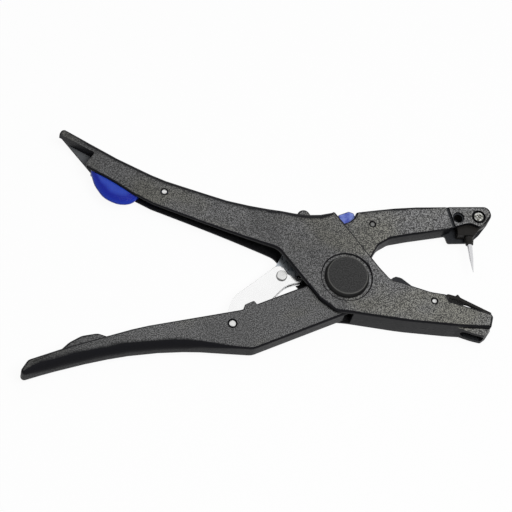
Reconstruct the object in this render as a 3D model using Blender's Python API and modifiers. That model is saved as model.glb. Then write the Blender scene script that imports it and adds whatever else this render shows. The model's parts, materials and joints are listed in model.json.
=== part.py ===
"""Ear tag applicator, a hand tool that pushes a tag's pin through an ear with a steel needle.

The tool lies flat on the rear faces of its head and lower jaw. X runs towards the jaws, Y towards
the upper handle, Z out of the front face. The origin is on the main pivot, in the rear plane.
Sizes are in millimetres and become metres where a mesh is made.
"""

import math

import bmesh
import bpy
from mathutils import Matrix, Vector

MM = 0.001

# Clearances
GAP = 0.3                    # between neighbouring pieces
STACK_GAP = 0.15             # between the flat pieces of the riveted link
SIDE_PLAY = 0.8              # between a cheek and the moving jaw

# Thicknesses, along Z
HEAD_THICK = 17.0
HANDLE_END_THICK = 9.0       # at the far end of the upper handle
CHEEK_WALL = 2.2
HANDLE_END_WALL = 1.5
LEVER_THICK = 10.4           # lower handle
LEVER_WALL = 1.6
TAIL_THICK = 8.0
PLATE_THICK = 1.2
KNEE_THICK = 1.8
TRIGGER_THICK = 5.4
TRIGGER_ARM_THICK = 4.0
LATCH_THICK = 3.8
CLIP_WIDTH = 10.6

# Main pivot
PIVOT_R = 4.0
PIVOT_FLANGE_BAND = 4.8
PIVOT_FLANGE_THICK = 0.9
CAP_R = 12.2                 # at its foot
CAP_SHOULDER = 1.2           # the top's radius is this much less
CAP_PROUD = 2.4
CAP_RECESS_ROOM = 1.5        # round the cap's foot
CAP_RECESS_DEPTH = 1.2
CAP_HOLLOW_ROOM = 1.0        # round the ring on the pivot's end
RETAINER_BAND = 2.6
RETAINER_THICK = 0.8
WASHER_FRONT_BAND = 1.5
WASHER_REAR_BAND = 5.2
HUB_R = 14.0
EYE_R = 16.8
EYE_PLAY = 0.8

# Spring round the pivot
SPRING_ROOM = 1.1            # from the front washer's rim to the wire's middle
SPRING_WIRE_R = 0.5
SPRING_TURNS = 2
SPRING_PITCH = 1.15
SPRING_ANGLE = 250.0

# Travel, in degrees
SQUEEZE_DEG = 30.0

# Pivots of the knee, and the other pins
LINK_PIN = (-62.9, -28.0)
LINK_PIN_R = 2.0
KNEE = (-34.8, 2.0)
KNEE_RIVET_R = 2.0
KNEE_HEAD_R = 2.95
KNEE_EYE_R = 5.5
KNEE_END_EYE_R = 5.2
KNEE_HEEL = (-27.4, 5.0)
KNEE_HEEL_R = 2.6
KNEE_HEEL_START_R = 4.0
TAIL_PIN = (-18.18, 32.8)
TAIL_OVERHANG = 6.2          # the tail's end past its pin
TAIL_START_R = 6.0
TAIL_END_R = 3.6
TAIL_SLOT_START_R = 12.0
TAIL_SLOT_LENGTH = 10.5
TAIL_PIN_R = 2.0
TAIL_PIN_SLACK = 1.5         # extra play at the open pivot
TRIGGER_PIN = (-98.0, 49.1)
TRIGGER_PIN_R = 1.6
LATCH_PIN = (16.6, 33.6)
LATCH_PIN_R = 1.3
LATCH_PIN_SINK_R = 1.95
CLIP_PIN = (47.6, -12.7)
CLIP_PIN_R = 1.5

# Return springs of the blue pieces
TRIGGER_SPRING_START = (-110.4, 54.1)
TRIGGER_SPRING_AXIS = (0.42, 0.908)
TRIGGER_SPRING_LENGTH = 3.3
TRIGGER_SPRING_R = 1.4
TRIGGER_SPRING_WIRE_R = 0.3
LATCH_SPRING_START = (6.0, 28.9)
LATCH_SPRING_LENGTH = 5.0
LATCH_SPRING_R = 1.0
LATCH_SPRING_WIRE_R = 0.25

# Needle, its block and its screw
FORK_WALL = 2.5
NEEDLE_TOP = (71.4, 36.5)
NEEDLE_TIP = (72.8, 9.0)
NEEDLE_R = 1.5
NEEDLE_TIP_R = 0.18
NEEDLE_TAPER = 18.0
COLLAR_R = 2.6
COLLAR_LENGTH = 4.2
SCREW = (77.1, 40.5)
SCREW_R = 1.5
SCREW_HEAD_R = 2.8
SCREW_HEAD_THICK = 1.5
SCREW_SINK_R = 3.9
SCREW_SINK_DEPTH = 1.6
NUT_R = 3.1
NUT_THICK = 2.0
SPARE_HOLE = (65.5, 39.6)
SPARE_HOLE_R = 2.5
SPARE_SINK_R = 3.3
SPARE_SINK_DEPTH = 1.4

# Lower jaw
NEEDLE_SLOT_X = (62.6, 75.4)
NEEDLE_SLOT_WIDTH = 6.0
CLIP_NOTCH_X = 64.5
CLIP_NOTCH_WIDTH = 6.0

# Roundings
EDGE_R = 1.2
GRIP_REACH = 5.8             # front rim of the lower handle, along the fingers' side
GRIP_RISE = 5.0
GRIP_END_REACH = 6.3         # its reach near the handle's end
PALM_REACH = 5.2             # front rim of the upper handle and head, along the palm's side
PALM_RISE = 3.6
ARM_TOP_REACH = 3.2          # slope along the top of the jaw's arm
ARM_TOP_RISE = 0.9
TRIGGER_EDGE_R = 2.3
TRIGGER_REACH = 8.0          # front rim of the trigger, under the finger
TRIGGER_RISE = 2.9
ARC_STEP = 15.0

MID = HEAD_THICK / 2
HEAD_SLOT = HEAD_THICK - 2 * CHEEK_WALL
HANDLE_END_SLOT = HANDLE_END_THICK - 2 * HANDLE_END_WALL
LEVER_SLOT = LEVER_THICK - 2 * LEVER_WALL
HUB_THICK = LEVER_SLOT - 2 * GAP
JAW_THICK = HEAD_SLOT - 2 * SIDE_PLAY
FORK_SLOT = JAW_THICK - 2 * FORK_WALL
CAP_SEAT = HEAD_THICK - CAP_RECESS_DEPTH
CAP_RECESS_R = CAP_R + CAP_RECESS_ROOM
PIVOT_FLANGE_R = PIVOT_R + PIVOT_FLANGE_BAND
RETAINER_R = PIVOT_R + RETAINER_BAND
CAP_HOLLOW_R = RETAINER_R + CAP_HOLLOW_ROOM
WASHER_FRONT_R = PIVOT_R + GAP + WASHER_FRONT_BAND
WASHER_REAR_R = PIVOT_R + GAP + WASHER_REAR_BAND
SPRING_R = WASHER_FRONT_R + SPRING_ROOM
EYE_CLEAR_R = EYE_R + EYE_PLAY

# The upper handle thins from the head towards its end between these places
TAPER_START_X = -34.0
TAPER_END_X = -110.0
TAPER_STEPS = 8

# Outlines: corners (x, y, radius), joined by straight runs
FRAME_OUTLINE = [
    (-153.4, 85.5, 2.1), (-133.0, 74.6, 300), (-114.6, 63.9, 350), (-80.6, 49.8, 240),
    (-46.0, 41.7, 190), (-20.0, 37.2, 80), (-4.8, 39.2, 2), (18.4, 6.6, 8), (23.9, -0.1, 4),
    (46.0, -7.1, 12), (54.6, -8.3, 1.3), (55.7, -12.3, 1.2), (79.0, -19.1, 1.4), (79.8, -21.0, 1.3),
    (78.2, -27.3, 1.3), (56.0, -26.6, 60), (30.0, -24.7, 100), (1.0, -20.8, 30), (-6.5, -20.4, 9),
    (-15.0, -13.7, 9), (-37.3, 16.2, 9), (-110.0, 43.9, 50), (-126.0, 54.8, 60),
    (-141.0, 63.0, 2.4), (-155.4, 81.7, 1.8),
]
FRAME_SLOT = [
    (-151.0, 70.0, 0), (-153.2, 80.2, 0.8), (-133.0, 70.4, 300), (-114.6, 60.0, 300),
    (-80.6, 46.5, 240), (-46.0, 38.2, 100), (-38.5, 36.8, 1), (-38.5, 60.0, 0), (60.0, 60.0, 0),
    (60.0, 8.0, 0), (28.0, 3.0, 0), (22.3, 0.6, 1), (21.0, -9.0, 8), (13.0, -18.0, 3),
    (3.0, -17.8, 0.8), (3.0, -40.0, 0), (-60.0, -40.0, 0), (-120.0, 20.0, 0),
]
FRAME_NOTCH = [
    (-157.0, 82.9, 0), (-135.6, 71.4, 1.2), (-140.7, 64.7, 2.0), (-139.6, 58.0, 0),
    (-160.0, 60.0, 0),
]
FRAME_REAR_TRIM = [
    (-153.7, 84.1, 0), (-137.5, 63.2, 0), (-137.5, 56.0, 0), (-165.0, 56.0, 0), (-165.0, 84.1, 0),
]
CLIP_CHANNEL = [
    (42.5, 10.0, 0), (42.5, -21.4, 1.5), (77.2, -23.4, 1.5), (77.2, 10.0, 0),
]
JAW_LUG = [
    (58.0, -24.6, 0), (59.5, -26.6, 3), (69.0, -29.8, 12), (74.6, -31.1, 1.6), (77.8, -28.6, 1),
    (77.4, -24.6, 0),
]
CROTCH_RIB = [
    (25.0, -6.0, 0), (24.6, 0.6, 1), (27.2, 3.2, 2), (31.0, 2.4, 4), (39.5, -4.6, 4), (38.0, -8.0, 0),
]
LEVER_OUTLINE = [
    (-171.0, -51.7, 4), (-150.0, -43.7, 60), (-112.0, -31.3, 90), (-57.5, -19.6, 12),
    (-10.0, 0.9, 0), (1.5, 0.0, 0), (1.5, -19.3, 1.8), (-51.8, -42.4, 8), (-84.0, -41.2, 80),
    (-110.0, -43.0, 120), (-135.0, -48.2, 150), (-160.0, -55.6, 150), (-177.2, -61.6, 2.2),
]
LEVER_CHANNEL = [
    (-118.0, 30.0, 0), (-118.0, -41.0, 2), (-92.0, -38.1, 60), (-52.2, -39.5, 8),
    (-1.5, -17.9, 0), (-1.5, -40.0, 0), (40.0, -40.0, 0), (40.0, 30.0, 0),
]
LEVER_PAD = [
    (-157.5, -48.5, 0), (-149.6, -40.6, 6), (-143.0, -36.6, 8), (-134.5, -34.9, 5),
    (-126.5, -37.5, 0), (-130.0, -41.0, 0),
]
LEVER_TAB = [
    (-57.0, -22.0, 0), (-55.9, -16.7, 1.2), (-50.7, -14.1, 1.2), (-48.0, -18.0, 0),
]
JAW_ARM = [
    (8.0, 40.8, 1.6), (36.0, 45.1, 120), (60.0, 46.3, 300), (82.9, 47.3, 4.0), (85.2, 41.8, 4.5),
    (78.6, 33.4, 3), (73.2, 28.4, 3.5), (60.2, 27.7, 1.8), (59.0, 32.0, 0.8), (37.0, 27.9, 60),
    (26.0, 25.4, 6), (19.3, 21.2, 6), (11.5, 7.5, 0), (4.0, 0.0, 0), (-6.0, 6.0, 0),
    (-1.0, 23.0, 6), (-0.4, 33.3, 1.5), (3.7, 34.8, 4), (6.8, 37.4, 3),
]
FORK_POCKET = [
    (61.4, 43.6, 0.6), (82.3, 43.6, 3), (82.3, 38.0, 1), (88.0, 34.0, 0), (88.0, 18.0, 0),
    (61.4, 18.0, 0),
]
FORK_TRIM = [
    (56.5, 31.8, 0), (61.5, 33.6, 4), (71.8, 37.0, 8), (77.2, 34.4, 4), (88.0, 41.5, 0),
    (88.0, 18.0, 0), (56.5, 18.0, 0),
]
JAW_GROOVE = [(57.9, 48.5, 0), (59.8, 48.5, 0), (64.2, 31.0, 0), (62.5, 31.0, 0)]
LATCH_SLOT = [
    (-12.0, 48.0, 0), (9.3, 48.0, 0), (9.3, 39.4, 1), (14.0, 38.0, 3), (20.8, 37.6, 3.4),
    (20.8, 28.6, 3.4), (-12.0, 28.6, 0),
]
LATCH_OUTLINE = [
    (-1.3, 37.7, 0.9), (-1.7, 40.2, 0.9), (4.4, 42.7, 1.2), (7.2, 41.7, 1.2), (8.2, 38.6, 2),
    (14.0, 37.2, 4),
    (20.1, 36.8, 3.2), (20.1, 30.3, 3.2), (13.4, 30.3, 3.2), (8.0, 34.2, 2), (1.4, 34.6, 1),
]
HOLDER_OUTLINE = [
    (65.0, 30.2, 0.6), (74.6, 30.2, 1.0), (77.5, 34.2, 1.5), (81.8, 37.4, 1.5),
    (81.8, 43.2, 2.4), (61.9, 43.2, 0.6), (61.9, 36.6, 0.6), (65.0, 36.6, 0.5),
]
PLATE_OUTLINE = [
    (-70.4, -35.5, 7.4), (-61.7, -11.2, 12), (-35.4, 9.6, 4), (-28.9, 1.3, 6), (-22.4, 0.9, 0.8),
    (-23.2, -0.9, 0.8), (-32.5, -3.2, 14), (-41.5, -12.8, 20), (-55.4, -35.5, 7.4),
]
TRIGGER_POD = [
    (-136.0, 65.5, 2.6), (-138.0, 62.0, 3), (-135.9, 54.0, 14), (-131.0, 46.4, 12),
    (-122.8, 42.4, 14), (-115.2, 43.2, 8), (-110.4, 48.5, 4), (-113.0, 55.0, 3),
]
TRIGGER_ARM_R = (2.6, 3.4)
TRIGGER_ARM_START = (-116.0, 51.5)
CLIP_OUTLINE = [
    (44.6, -15.7, 2.8), (44.6, -9.7, 2.8), (50.6, -9.7, 4), (56.2, -6.9, 1.5), (60.2, -8.0, 0.4),
    (61.6, -6.9, 0.5), (63.0, -8.9, 0.6), (79.7, -17.4, 0.4), (79.1, -18.5, 0.4),
    (61.8, -10.3, 3), (56.6, -8.8, 1), (52.2, -11.2, 2), (50.6, -15.7, 2.8),
]


# Building blocks

def heading(degrees):
    """The unit direction at an angle from +X."""
    angle = math.radians(degrees)
    return Vector((math.cos(angle), math.sin(angle)))


def along_tail(offset):
    """A point of the tail's middle line, at a distance past its pin."""
    pin_place = Vector(TAIL_PIN)
    return pin_place + offset * pin_place.normalized()


def rounded(corners):
    """The points of an outline whose corners are arcs of the radius that each one gives."""
    points = []
    count = len(corners)
    for i, (x, y, radius) in enumerate(corners):
        corner = Vector((x, y))
        before = Vector(corners[i - 1][:2]) - corner
        after = Vector(corners[(i + 1) % count][:2]) - corner
        half = before.angle(after) / 2
        reach = min(radius / math.tan(half), 0.49 * before.length, 0.49 * after.length)
        if reach < 0.01:
            points.append(corner)
            continue
        fillet = reach * math.tan(half)
        centre = corner + (before.normalized() + after.normalized()).normalized() * (
            fillet / math.sin(half))
        start = corner + before.normalized() * reach - centre
        end = corner + after.normalized() * reach - centre
        sweep = start.angle_signed(end)
        steps = max(1, math.ceil(abs(math.degrees(sweep)) / ARC_STEP))
        for k in range(steps + 1):
            points.append(centre + Matrix.Rotation(-sweep * k / steps, 2) @ start)
    return points


def divided(points, longest):
    """The same outline with its long runs cut into equal lengths."""
    found = []
    for a, b in zip(points, points[1:] + points[:1]):
        pieces = math.ceil((b - a).length / longest)
        found += [a.lerp(b, k / pieces) for k in range(pieces)]
    return found


def bar_outline(start, end, start_r, end_r, steps=14):
    """A bar with a round end about each of two points."""
    axis = Vector(end) - Vector(start)
    heading = math.atan2(axis.y, axis.x)
    lean = math.asin((start_r - end_r) / axis.length)
    points = []
    for centre, radius, first, sweep in (
            (end, end_r, heading - math.pi / 2 + lean, math.pi - 2 * lean),
            (start, start_r, heading + math.pi / 2 - lean, math.pi + 2 * lean)):
        for k in range(steps + 1):
            angle = first + sweep * k / steps
            points.append(Vector(centre) + radius * Vector((math.cos(angle), math.sin(angle))))
    return points


def arc_slot_outline(radius, width, first_deg, last_deg, steps=8):
    """A slot of one width that follows a circle round the main pivot."""
    points = []
    for r, first, last in ((radius + width / 2, first_deg, last_deg),
                           (radius - width / 2, last_deg, first_deg)):
        for k in range(steps + 1):
            points.append(r * heading(first + (last - first) * k / steps))
    return points


def new_object(name, mesh, group):
    """An object of a mesh, in the collection of the part or of the cutters."""
    obj = bpy.data.objects.new(name, mesh)
    bpy.data.collections[group].objects.link(obj)
    if group == CUTTERS:
        obj.hide_render = True
        obj.display_type = "WIRE"
    return obj


def plate(name, points, z_low, z_high, group):
    """A flat piece: the outline as a filled curve, made a mesh with one face on each side."""
    curve = bpy.data.curves.new(name, "CURVE")
    curve.dimensions = "2D"
    curve.fill_mode = "BOTH"
    curve.extrude = (z_high - z_low) / 2 * MM
    spline = curve.splines.new("POLY")
    spline.points.add(len(points) - 1)
    for place, point in zip(spline.points, points):
        place.co = (point[0] * MM, point[1] * MM, 0, 1)
    spline.use_cyclic_u = True
    guide = new_object(name + "_curve", curve, CUTTERS)
    bpy.context.view_layer.update()
    evaluated = guide.evaluated_get(bpy.context.evaluated_depsgraph_get())
    mesh = bpy.data.meshes.new_from_object(evaluated)
    bpy.data.objects.remove(guide)
    bm = bmesh.new()
    bm.from_mesh(mesh)
    bmesh.ops.remove_doubles(bm, verts=bm.verts, dist=0.00001)
    inner = [e for e in bm.edges if len(e.link_faces) == 2
             and all(abs(f.normal.z) > 0.99 for f in e.link_faces)]
    bmesh.ops.dissolve_edges(bm, edges=inner, use_verts=False)
    bmesh.ops.translate(bm, verts=bm.verts, vec=(0, 0, (z_low + z_high) / 2 * MM))
    bmesh.ops.recalc_face_normals(bm, faces=bm.faces)
    bm.to_mesh(mesh)
    bm.free()
    return new_object(name, mesh, group)


def disc(name, centre, radius, z_low, z_high, group, sides=32):
    """A round bar or disc along Z."""
    bm = bmesh.new()
    bmesh.ops.create_cone(bm, cap_ends=True, segments=sides, radius1=radius * MM,
                          radius2=radius * MM, depth=(z_high - z_low) * MM)
    bmesh.ops.translate(
        bm, verts=bm.verts,
        vec=(centre[0] * MM, centre[1] * MM, (z_low + z_high) / 2 * MM))
    mesh = bpy.data.meshes.new(name)
    bm.to_mesh(mesh)
    bm.free()
    return new_object(name, mesh, group)


def turned(name, profile, centre, group, ring=False, sides=40):
    """A turned piece: a profile of (radius, height), down its outer side, and a Screw modifier."""
    bm = bmesh.new()
    verts = [bm.verts.new((r * MM, 0, z * MM)) for r, z in profile]
    for a, b in zip(verts, verts[1:]):
        bm.edges.new((a, b))
    if ring:
        bm.edges.new((verts[-1], verts[0]))
    mesh = bpy.data.meshes.new(name)
    bm.to_mesh(mesh)
    bm.free()
    obj = new_object(name, mesh, group)
    obj.location = (centre[0] * MM, centre[1] * MM, 0)
    screw = obj.modifiers.new("Turn", "SCREW")
    screw.axis = "Z"
    screw.steps = sides
    screw.render_steps = sides
    screw.use_merge_vertices = True
    screw.merge_threshold = 0.00001
    screw.use_smooth_shade = False
    return obj


def combine(obj, tool, operation):
    """Cut a tool object out of a piece, or join it on."""
    mod = obj.modifiers.new(operation.title() + " " + tool.name, "BOOLEAN")
    mod.operation = operation
    mod.object = tool
    mod.solver = "EXACT"


def cut_disc(obj, name, centre, radius, z_low, z_high, sides=32):
    combine(obj, disc(name, centre, radius, z_low, z_high, CUTTERS, sides), "DIFFERENCE")


def cut_plate(obj, name, points, z_low, z_high):
    tool = plate(name, points, z_low, z_high, CUTTERS)
    combine(obj, tool, "DIFFERENCE")
    return tool


def join_plate(obj, name, points, z_low, z_high):
    tool = plate(name, points, z_low, z_high, CUTTERS)
    combine(obj, tool, "UNION")
    return tool


def soft_plate(name, points, z_low, z_high, group, radius, front_rim=None, steps=2):
    """A flat piece with rounded rims, from rings of the outline set in by a quarter circle.

    The front rim may be a quarter of an ellipse. A function of the point, and of the direction
    that the side faces there, gives its reach into the face and its rise up the side.
    """
    count = len(points)
    area = sum(points[i - 1].cross(points[i]) for i in range(count))
    turn = 1 if area > 0 else -1
    outward = []
    for i, point in enumerate(points):
        before = (point - points[i - 1]).normalized()
        after = (points[(i + 1) % count] - point).normalized()
        normal = turn * Vector((before.y + after.y, -before.x - after.x)).normalized()
        outward.append(normal / max(0.4, normal.dot(turn * Vector((before.y, -before.x)))))
    rear = [(radius, radius)] * count
    front = [front_rim(p, n) if front_rim else (radius, radius) for p, n in zip(points, outward)]
    levels = [(rear, z_low, 1, k / steps) for k in range(steps + 1)]
    levels += [(front, z_high, -1, 1 - k / steps) for k in range(steps + 1)]
    bm = bmesh.new()
    rings = []
    for rims, z, side, part in levels:
        angle = part * math.pi / 2
        ring = []
        for point, normal, (reach, rise) in zip(points, outward, rims):
            place = point - normal * reach * (1 - math.sin(angle))
            height = z + side * rise * (1 - math.cos(angle))
            ring.append(bm.verts.new((place.x * MM, place.y * MM, height * MM)))
        rings.append(ring)
    for low, high in zip(rings, rings[1:]):
        for i in range(count):
            bm.faces.new((low[i - 1], low[i], high[i], high[i - 1]))
    bm.faces.new(rings[0])
    bm.faces.new(rings[-1])
    bmesh.ops.recalc_face_normals(bm, faces=bm.faces)
    bmesh.ops.connect_verts_nonplanar(bm, angle_limit=0.001, faces=bm.faces)
    mesh = bpy.data.meshes.new(name)
    bm.to_mesh(mesh)
    bm.free()
    return new_object(name, mesh, group)


def widened(part, reach, rise):
    """The size of a front rim that is partly widened, from the plain rim at 0 to the full one at 1."""
    part = min(1.0, max(0.0, part))
    return EDGE_R + (reach - EDGE_R) * part, EDGE_R + (rise - EDGE_R) * part


def thin_upper_handle(obj, head, end):
    """Thin a plate about the middle plane, from its thickness at the head to that at the end."""
    length = TAPER_START_X - TAPER_END_X
    bm = bmesh.new()
    bm.from_mesh(obj.data)
    for k in range(TAPER_STEPS + 1):
        x = TAPER_END_X + length * k / TAPER_STEPS
        bmesh.ops.bisect_plane(bm, geom=bm.verts[:] + bm.edges[:] + bm.faces[:], dist=0.0000001,
                               plane_co=(x * MM, 0, 0), plane_no=(1, 0, 0))
    for vert in bm.verts:
        part = (vert.co.x / MM - TAPER_END_X) / length
        step = min(1.0, max(0.0, part)) * TAPER_STEPS
        whole = min(TAPER_STEPS - 1, int(step))
        low = (whole / TAPER_STEPS) ** 3
        high = ((whole + 1) / TAPER_STEPS) ** 3
        shape = low + (high - low) * (step - whole)
        vert.co.z = MID * MM + (vert.co.z - MID * MM) * (end + (head - end) * shape) / head
    bmesh.ops.connect_verts_nonplanar(bm, angle_limit=0.001, faces=bm.faces)
    bm.to_mesh(obj.data)
    bm.free()


def wire(name, points, radius):
    """A bent wire: a curve with a round section, made a mesh with its caps welded."""
    curve = bpy.data.curves.new(name, "CURVE")
    curve.dimensions = "3D"
    curve.bevel_depth = radius * MM
    curve.bevel_resolution = 2
    curve.use_fill_caps = True
    spline = curve.splines.new("POLY")
    spline.points.add(len(points) - 1)
    for place, point in zip(spline.points, points):
        place.co = (point[0] * MM, point[1] * MM, point[2] * MM, 1)
    guide = new_object(name + "_curve", curve, CUTTERS)
    bpy.context.view_layer.update()
    evaluated = guide.evaluated_get(bpy.context.evaluated_depsgraph_get())
    mesh = bpy.data.meshes.new_from_object(evaluated)
    bpy.data.objects.remove(guide)
    bm = bmesh.new()
    bm.from_mesh(mesh)
    bmesh.ops.remove_doubles(bm, verts=bm.verts, dist=0.00001)
    bmesh.ops.recalc_face_normals(bm, faces=bm.faces)
    bm.to_mesh(mesh)
    bm.free()
    return new_object(name, mesh, PART)


def coil(start, axis, length, radius, wire_r, turns, steps=10):
    """The points of a round coil that climbs from a point along an axis."""
    across = axis.orthogonal().normalized()
    other = axis.cross(across)
    points = []
    for k in range(turns * steps + 1):
        angle = 2 * math.pi * k / steps
        climb = wire_r + (length - 2 * wire_r) * k / (turns * steps)
        points.append(start + axis * climb
                      + radius * (math.cos(angle) * across + math.sin(angle) * other))
    return points


def material(name, colour, roughness, metallic=0.0):
    mat = bpy.data.materials.new(name)
    mat.use_nodes = True
    shader = mat.node_tree.nodes["Principled BSDF"]
    shader.inputs["Base Color"].default_value = (*colour, 1)
    shader.inputs["Roughness"].default_value = roughness
    shader.inputs["Metallic"].default_value = metallic
    return mat


def finish(obj, mat):
    obj.data.materials.clear()
    obj.data.materials.append(mat)
    return obj


# The pieces

def build_frame(mat):
    """Upper handle, head and lower jaw: one moulding, slotted for the levers."""

    def front_rim(point, outward):
        if outward.y < 0.7 or point.x > 0:
            return EDGE_R, EDGE_R
        return widened(min((point.x + 150.0) / 14.0, -5.6 - point.x), PALM_REACH, PALM_RISE)

    outline = divided(rounded(FRAME_OUTLINE), 14.0)
    body = soft_plate("frame_body", outline, 0, HEAD_THICK, PART, EDGE_R, front_rim, 3)
    thin_upper_handle(body, HEAD_THICK, HANDLE_END_THICK)
    lug_side = (HEAD_THICK - JAW_THICK) / 2
    join_plate(body, "jaw_lug", rounded(JAW_LUG), lug_side, HEAD_THICK - lug_side)
    join_plate(body, "crotch_rib", rounded(CROTCH_RIB), MID - TAIL_THICK / 2, MID + TAIL_THICK / 2)
    slot = cut_plate(body, "frame_slot", rounded(FRAME_SLOT), MID - HEAD_SLOT / 2,
                     MID + HEAD_SLOT / 2)
    thin_upper_handle(slot, HEAD_SLOT, HANDLE_END_SLOT)
    cut_plate(body, "frame_notch", rounded(FRAME_NOTCH), MID - HANDLE_END_SLOT / 2, HEAD_THICK)
    cut_plate(body, "frame_rear_trim", rounded(FRAME_REAR_TRIM), -1, MID + 0.2)
    cut_plate(body, "clip_channel", rounded(CLIP_CHANNEL), CHEEK_WALL, HEAD_THICK - CHEEK_WALL)
    cut_needle_slot(body)
    cut_disc(body, "pivot_bore", (0, 0), PIVOT_R + GAP, -1, HEAD_THICK + 1, 40)
    recess = turned("cap_recess", [
        (0, HEAD_THICK + 1), (CAP_RECESS_R + 0.8, HEAD_THICK + 1), (CAP_RECESS_R + 0.8, HEAD_THICK),
        (CAP_RECESS_R, HEAD_THICK - 0.7), (CAP_RECESS_R, CAP_SEAT), (0, CAP_SEAT)],
        (0, 0), CUTTERS, sides=64)
    combine(body, recess, "DIFFERENCE")
    cut_disc(body, "flange_recess", (0, 0), PIVOT_FLANGE_R + GAP, -1, PIVOT_FLANGE_THICK + GAP, 48)
    cut_disc(body, "trigger_pin_hole", TRIGGER_PIN, TRIGGER_PIN_R + GAP, -1, HEAD_THICK + 1, 24)
    cut_disc(body, "clip_pin_hole", CLIP_PIN, CLIP_PIN_R + GAP, -1, HEAD_THICK + 1, 24)
    cut_disc(body, "spring_hole", SPRING_R * heading(SPRING_ANGLE), SPRING_WIRE_R + GAP,
             HEAD_THICK - CHEEK_WALL - 1, HEAD_THICK - CHEEK_WALL + 0.8, 12)
    finish(body, mat)


def cut_needle_slot(body):
    """The oval slot in the floor and the lug that the needle passes through."""
    radius = NEEDLE_SLOT_WIDTH / 2
    first = (NEEDLE_SLOT_X[0] + radius, MID)
    last = (NEEDLE_SLOT_X[1] - radius, MID)
    tool = plate("needle_slot", bar_outline(first, last, radius, radius, 8), -16.0, 36.0, CUTTERS)
    tool.data.transform(Matrix.Rotation(math.radians(90), 4, "X"))
    # The outline's Y has become Z, and its own height now runs along -Y
    combine(body, tool, "DIFFERENCE")


def build_lower_handle(mat):
    """The lower handle: a grip, a channel for the link, and two eyes on the main pivot."""
    low = MID - LEVER_THICK / 2
    high = MID + LEVER_THICK / 2

    def front_rim(point, outward):
        if outward.y > -0.6:
            return EDGE_R, EDGE_R
        near_end = min(1.0, max(0.0, (-120.0 - point.x) / 40.0))
        reach = GRIP_REACH + (GRIP_END_REACH - GRIP_REACH) * near_end
        return widened(min((-60.0 - point.x) / 30.0, (point.x + 175.0) / 10.0), reach, GRIP_RISE)

    outline = divided(rounded(LEVER_OUTLINE), 8.0)
    lever = soft_plate("lower_handle", outline, low, high, PART, EDGE_R, front_rim, 4)
    combine(lever, disc("lever_eye", (0, 0), EYE_R, low, high, CUTTERS, 48), "UNION")
    pad = soft_plate("lever_pad", rounded(LEVER_PAD), low + 1.5, high - 1.5, CUTTERS, EDGE_R)
    combine(lever, pad, "UNION")
    tab = soft_plate("lever_tab", rounded(LEVER_TAB), low, high, CUTTERS, EDGE_R / 2)
    combine(lever, tab, "UNION")
    cut_plate(lever, "lever_channel", rounded(LEVER_CHANNEL), low + LEVER_WALL, high - LEVER_WALL)
    cut_disc(lever, "lever_bore", (0, 0), PIVOT_R + GAP, low - 1, high + 1, 40)
    cut_disc(lever, "link_pin_hole", LINK_PIN, LINK_PIN_R + GAP, low - 1, high + 1, 24)
    window = arc_slot_outline(SPRING_R, 2 * (SPRING_WIRE_R + GAP) + 0.2, SPRING_ANGLE - 6,
                              SPRING_ANGLE + SQUEEZE_DEG + 6)
    cut_plate(lever, "spring_window", window, high - LEVER_WALL - 1, high + 1)
    finish(lever, mat)


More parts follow.
